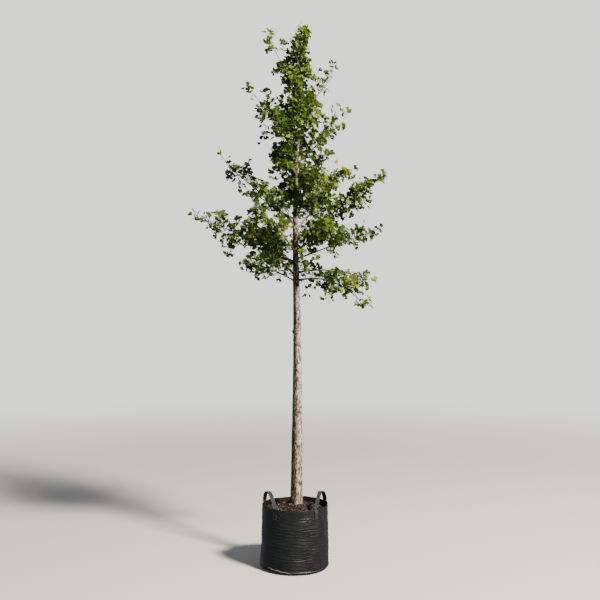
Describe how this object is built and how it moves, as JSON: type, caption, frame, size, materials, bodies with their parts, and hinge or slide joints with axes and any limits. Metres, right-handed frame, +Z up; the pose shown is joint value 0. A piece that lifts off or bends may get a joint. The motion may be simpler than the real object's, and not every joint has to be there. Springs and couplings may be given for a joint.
{
  "type": "ginkgo sapling in a planting bag",
  "caption": "Young ginkgo with a clear straight stem and a narrow crown of fan-shaped leaves, its root ball held in a round black planting bag with webbing loop handles.",
  "frame": {"origin": "centre of the bag's flat underside", "axes": "+Z up along the stem, +X to the right and +Y away from someone who faces the side with both handles towards them"},
  "size_m": [1.4956, 1.0949, 4.11],
  "materials": {
    "foliage": "soft green leaves, matt with a faint sheen",
    "bark": "pale grey bark with fine dark fissures",
    "soil": "dark compost with pinkish bark chips",
    "bag": "black woven plastic with a low sheen and fine creases",
    "webbing": "black woven webbing"
  },
  "bodies": {
    "root": {"bag": "bag", "bough_01": "bark", "bough_02": "bark", "bough_03": "bark", "bough_04": "bark", "bough_05": "bark", "bough_06": "bark", "bough_07": "bark", "bough_08": "bark", "bough_09": "bark", "bough_10": "bark", "bough_11": "bark", "bough_12": "bark", "bough_13": "bark", "bough_14": "bark", "bough_15": "bark", "bough_16": "bark", "bough_17": "bark", "bough_18": "bark", "bough_19": "bark", "foliage_01": "foliage", "foliage_02": "foliage", "foliage_03": "foliage", "foliage_04": "foliage", "foliage_05": "foliage", "foliage_06": "foliage", "foliage_07": "foliage", "foliage_08": "foliage", "foliage_09": "foliage", "foliage_10": "foliage", "foliage_11": "foliage", "foliage_12": "foliage", "foliage_13": "foliage", "foliage_14": "foliage", "foliage_15": "foliage", "foliage_16": "foliage", "foliage_17": "foliage", "foliage_18": "foliage", "foliage_19": "foliage", "foliage_20": "foliage", "foliage_21": "foliage", "foliage_inner_01": "foliage", "foliage_inner_02": "foliage", "foliage_inner_03": "foliage", "foliage_inner_04": "foliage", "foliage_inner_05": "foliage", "foliage_inner_06": "foliage", "foliage_inner_07": "foliage", "foliage_inner_08": "foliage", "foliage_inner_09": "foliage", "foliage_inner_10": "foliage", "foliage_inner_11": "foliage", "foliage_inner_12": "foliage", "foliage_inner_13": "foliage", "foliage_inner_14": "foliage", "foliage_inner_15": "foliage", "handle_left": "webbing", "handle_right": "webbing", "root_ball": "soil", "trunk": "bark"}
  },
  "joints": []
}
